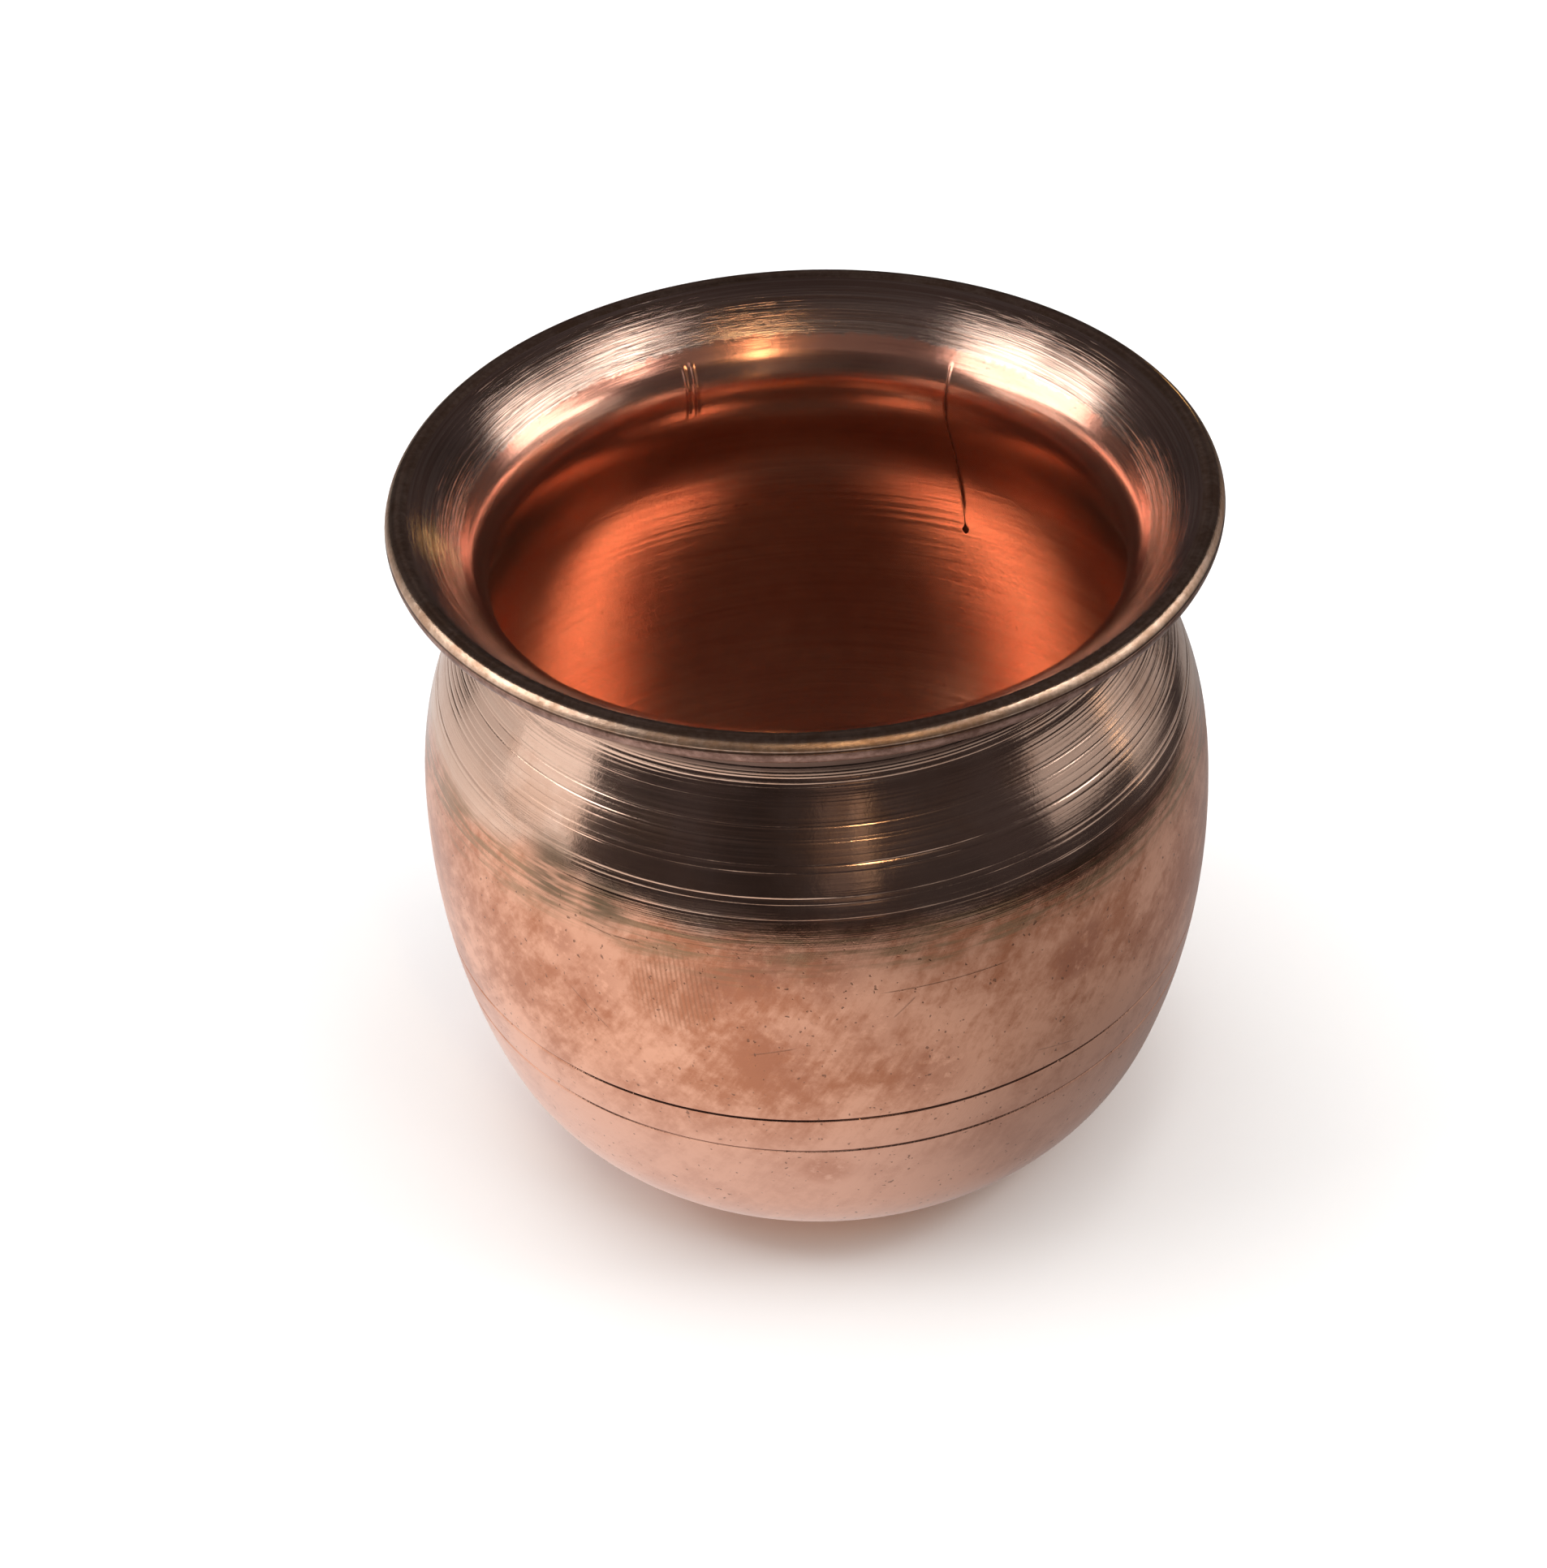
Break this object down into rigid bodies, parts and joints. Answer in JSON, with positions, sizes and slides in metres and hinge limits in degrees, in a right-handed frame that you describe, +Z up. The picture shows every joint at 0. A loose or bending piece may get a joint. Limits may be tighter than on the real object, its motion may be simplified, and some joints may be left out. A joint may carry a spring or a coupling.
{
  "type": "lota water pot",
  "caption": "Small round copper water pot with a flared, rolled mouth, a full belly with engraved lines round it, and a flat base to stand on.",
  "frame": {"origin": "middle of the flat base, on the surface that the pot stands on", "axes": "+Z up through the mouth, -Y towards the pictured front, the side seam to the right of +Y"},
  "size_m": [0.1, 0.1, 0.091],
  "materials": {
    "copper_body": "copper, turned and polished on the mouth and neck, satin on the belly, left red inside",
    "copper_wire": "drawn copper wire",
    "brazing_filler": "dull brazing filler"
  },
  "bodies": {
    "root": {"upper_body": "copper_body", "lower_bowl": "copper_body", "rim_wire": "copper_wire", "side_seam_braze": "brazing_filler", "belly_joint_braze": "brazing_filler"}
  },
  "joints": []
}
